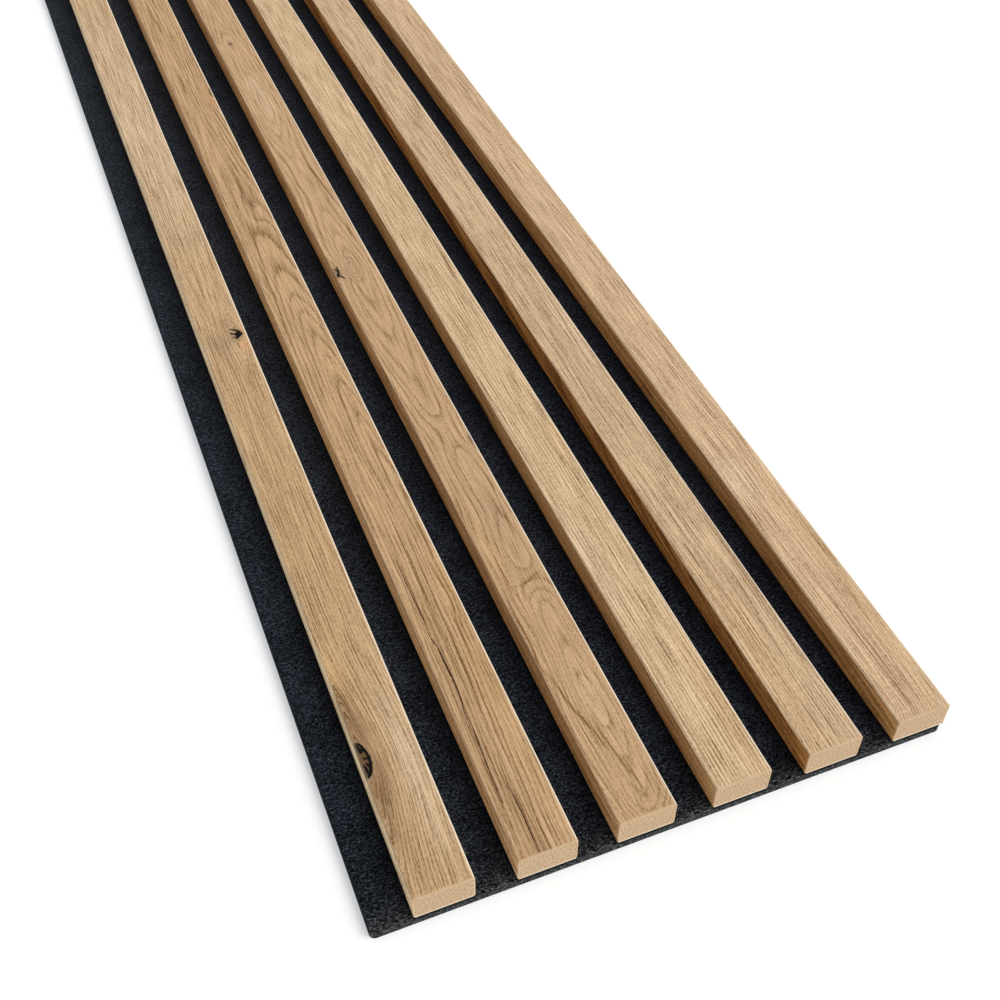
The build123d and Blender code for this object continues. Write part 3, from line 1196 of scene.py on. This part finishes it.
def staple_material():
    """Galvanised wire: bright zinc with drawn streaks and dull patches."""
    material, wiring, shader = new_material("galvanised_wire")
    place = wiring.object_place()
    bloom = wiring.noise(place, 3.0, 0.6, scale=1 / (1.8 * MM))
    x, y, z = wiring.parts(place)
    drawn = wiring.noise(wiring.point(x / (4 * MM), y / (0.09 * MM), z / (0.09 * MM)), 1.0)
    colour = wiring.mix((0.5 + bloom * 0.5).clamped(), (0.42, 0.43, 0.44), (0.66, 0.66, 0.65))
    wiring.fill(shader, Base_Color=colour, Metallic=1.0, Roughness=(0.38 + bloom * 0.12).clamped())
    set_bump(wiring, shader, drawn, 0.02 * MM, 0.5)
    return material


# Studio

def seen_directly(wiring):
    """1 for rays that the camera, a gloss or glass sees the background by."""
    path = wiring.node("ShaderNodeLightPath")
    names = ("Is Camera Ray", "Is Glossy Ray", "Is Transmission Ray")
    rays = [Signal(wiring, path.outputs[name]) for name in names]
    return (rays[0] + rays[1] + rays[2]).clamped()


def show_either(wiring, share, first, second, output):
    """Show the first shader, and the second where share is 1."""
    chosen = wiring.node("ShaderNodeMixShader")
    wiring.feed(chosen.inputs[0], share)
    wiring.join(first, chosen.inputs[1])
    wiring.join(second, chosen.inputs[2])
    wiring.join(chosen, wiring.node(output).inputs["Surface"])


def shade_floor(floor):
    """Pale paper with a faint glow, clear from below."""
    material, wiring, shader = new_material("studio_paper")
    material.node_tree.nodes.clear()
    paper = wiring.filled("ShaderNodeBsdfDiffuse", Color=FLOOR_PAPER)
    glow = wiring.filled("ShaderNodeEmission", Color=FLOOR_GLOW_COLOUR, Strength=FLOOR_GLOW)
    lit = wiring.node("ShaderNodeAddShader")
    wiring.join(paper, lit.inputs[0])
    wiring.join(glow, lit.inputs[1])
    clear = wiring.node("ShaderNodeBsdfTransparent")
    from_below = Signal(wiring, wiring.node("ShaderNodeNewGeometry").outputs["Backfacing"])
    show_either(wiring, from_below, lit, clear, "ShaderNodeOutputMaterial")
    floor.data.materials.append(material)


def make_floor():
    """Pale floor that keeps the shadow, open just under the panel, so that the back can be looked at."""
    bpy.ops.object.select_all(action="DESELECT")
    bpy.ops.mesh.primitive_plane_add(size=FLOOR_SIZE, location=(0, 0, felt_low.z - FLOOR_DROP))
    floor = bpy.context.object
    floor.name = "studio_floor"
    bpy.ops.object.transform_apply(location=True, rotation=True, scale=True)
    with editing(floor):
        cut(floor, lambda face: True, 0, (felt_low.x + FLOOR_INSET, felt_high.x - FLOOR_INSET))
        cut(floor, lambda face: True, 1, (felt_low.y + FLOOR_INSET, felt_high.y - FLOOR_INSET))
        pick(floor, "faces", lambda face: face.calc_center_median().length < 100 * MM)
        bpy.ops.mesh.delete(type="FACE")
    shade_floor(floor)


def make_room():
    """A plain pale room: white where it is seen, and a soft even light otherwise."""
    world = bpy.data.worlds.new("pale_room")
    bpy.context.scene.world = world
    world.use_nodes = True
    world.node_tree.nodes.clear()
    wiring = Wiring(world.node_tree)
    soft = wiring.filled("ShaderNodeBackground", Color=(0.96, 0.98, 1.0), Strength=ROOM_LIGHT)
    white = wiring.filled("ShaderNodeBackground", Color=(1.0, 1.0, 1.0), Strength=1.0)
    show_either(wiring, seen_directly(wiring), soft, white, "ShaderNodeOutputWorld")


def make_key_light():
    """One broad soft lamp, far off to the front right."""
    lamp = bpy.data.lights.new("key_light", "SUN")
    lamp.energy = KEY_STRENGTH
    lamp.angle = KEY_SOFTNESS
    lamp.color = (1.0, 0.99, 0.97)
    holder = bpy.data.objects.new("key_light", lamp)
    holder.rotation_euler = KEY_DIRECTION.to_track_quat("Z", "Y").to_euler()
    holder.location = (1.0, -1.5, 2.0)
    bpy.context.scene.collection.objects.link(holder)


def make_camera():
    """Camera above the near end, a little to the left, looking down along the slats."""
    lens = bpy.data.cameras.new("camera")
    lens.lens = CAMERA_LENS
    lens.sensor_width = CAMERA_SENSOR
    camera = bpy.data.objects.new("camera", lens)
    back = -CAMERA_FORWARD.normalized()
    right = (CAMERA_RIGHT - back * CAMERA_RIGHT.dot(back)).normalized()
    up = back.cross(right)
    camera.matrix_world = Matrix.Translation(CAMERA_PLACE) @ Matrix((right, up, back)).transposed().to_4x4()
    bpy.context.scene.collection.objects.link(camera)
    bpy.context.scene.camera = camera


def dress(piece, material, slot_name, *nodes):
    """Give a piece its material, and let it stand for its CAD nodes. Its slot name is not used."""
    piece.data.materials.clear()
    piece.data.materials.append(material)
    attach(piece, "root")
    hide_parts(*nodes)


def build_groups():
    build_slat_map()
    build_knot_flow()
    build_grain_eye()
    build_grain_stroke()
    build_growth_rings()
    build_oak_pores()
    build_oak_tone()
    build_stain()
    build_felt_fibres()
    build_board_speckle()


def build_panel():
    skin_pattern = fold_skin()
    core_pattern = make_core_pattern()
    board = fibreboard_material()
    for number, look in enumerate(SLAT_LOOKS, start=1):
        name = "slat_" + str(number)
        skin = make_skin(skin_pattern, number, look)
        dress(skin, oak_material(number, look), "oak_veneer", name + "_veneer")
        core = copy_at(core_pattern, name + "_board", slat_middle(number))
        dress(core, board, "fibreboard", name + "_core")
    bpy.data.objects.remove(skin_pattern)
    bpy.data.objects.remove(core_pattern)
    dress(make_felt(), felt_material(), "black_felt", "backing_felt")
    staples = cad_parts["backing_staples"]
    staples.data.materials.clear()
    staples.data.materials.append(staple_material())


make_camera()
bpy.context.scene.view_settings.view_transform = "Standard"
make_room()
make_key_light()
make_floor()
build_groups()
build_panel()
